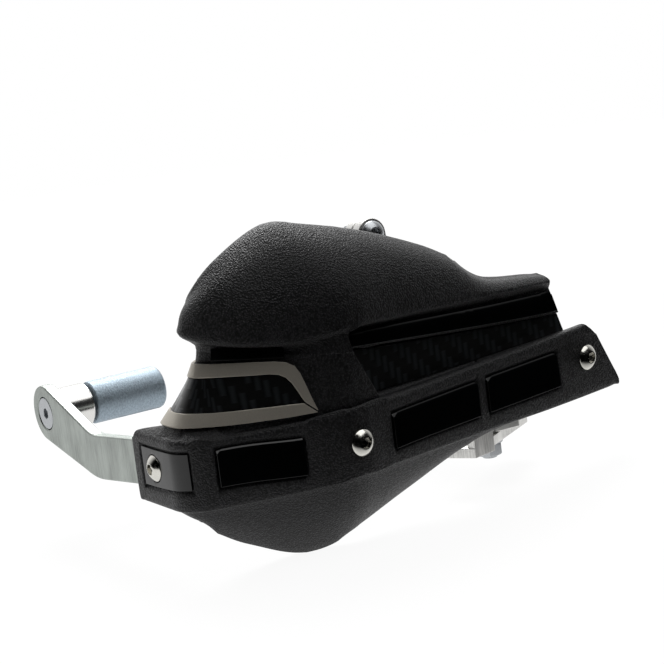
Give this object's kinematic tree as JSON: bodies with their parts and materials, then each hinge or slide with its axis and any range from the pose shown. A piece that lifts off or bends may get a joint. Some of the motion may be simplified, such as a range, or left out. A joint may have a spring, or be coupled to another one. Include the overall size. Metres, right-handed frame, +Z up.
{
  "type": "motorcycle hand guard",
  "caption": "Right-hand motorcycle hand guard: flat aluminium backbone, grained black moulded shell with gloss panels, bar-end expander and handlebar clamp.",
  "frame": {"origin": "middle of the handlebar clamp bore", "axes": "+X along the handlebar, pointing inboard; +Y back towards the rider; +Z up"},
  "size_m": [0.2245, 0.1608, 0.1279],
  "materials": {
    "moulded_plastic": "grained satin black",
    "gloss_panel": "gloss black",
    "trim_metal": "satin metallic grey",
    "carbon_look": "gloss black twill look",
    "backbone_alloy": "satin, fine brushed grain",
    "turned_alloy": "turned, smooth satin",
    "zinc_sleeve": "bluish zinc plating, fine grain",
    "stainless": "satin stainless",
    "zinc_steel": "dull zinc plating"
  },
  "bodies": {
    "root": {"guard_shell": "moulded_plastic", "side_panel": "gloss_panel", "front_panel": "gloss_panel", "badge_panel": "gloss_panel", "inner_panel": "gloss_panel", "upper_trim": "trim_metal", "lower_trim": "trim_metal", "wrap_inlay": "carbon_look", "neck_window": "gloss_panel", "groove_window": "gloss_panel", "groove_inlay": "carbon_look", "backbone_bar": "backbone_alloy", "shell_screws": "stainless", "shell_nuts": "zinc_steel", "bar_end_bolt": "stainless", "bar_end_spacer": "turned_alloy", "expander_sleeve": "zinc_sleeve", "expander_wedge": "zinc_steel", "slot_bracket": "backbone_alloy", "bracket_bolt": "zinc_steel", "bracket_nut": "zinc_steel", "clamp_arm": "turned_alloy", "clamp_cap": "turned_alloy", "clamp_bolts": "zinc_steel", "clamp_nuts": "zinc_steel", "slot_bolt": "zinc_steel", "slot_washer": "zinc_steel", "slot_nut": "zinc_steel"}
  },
  "joints": []
}
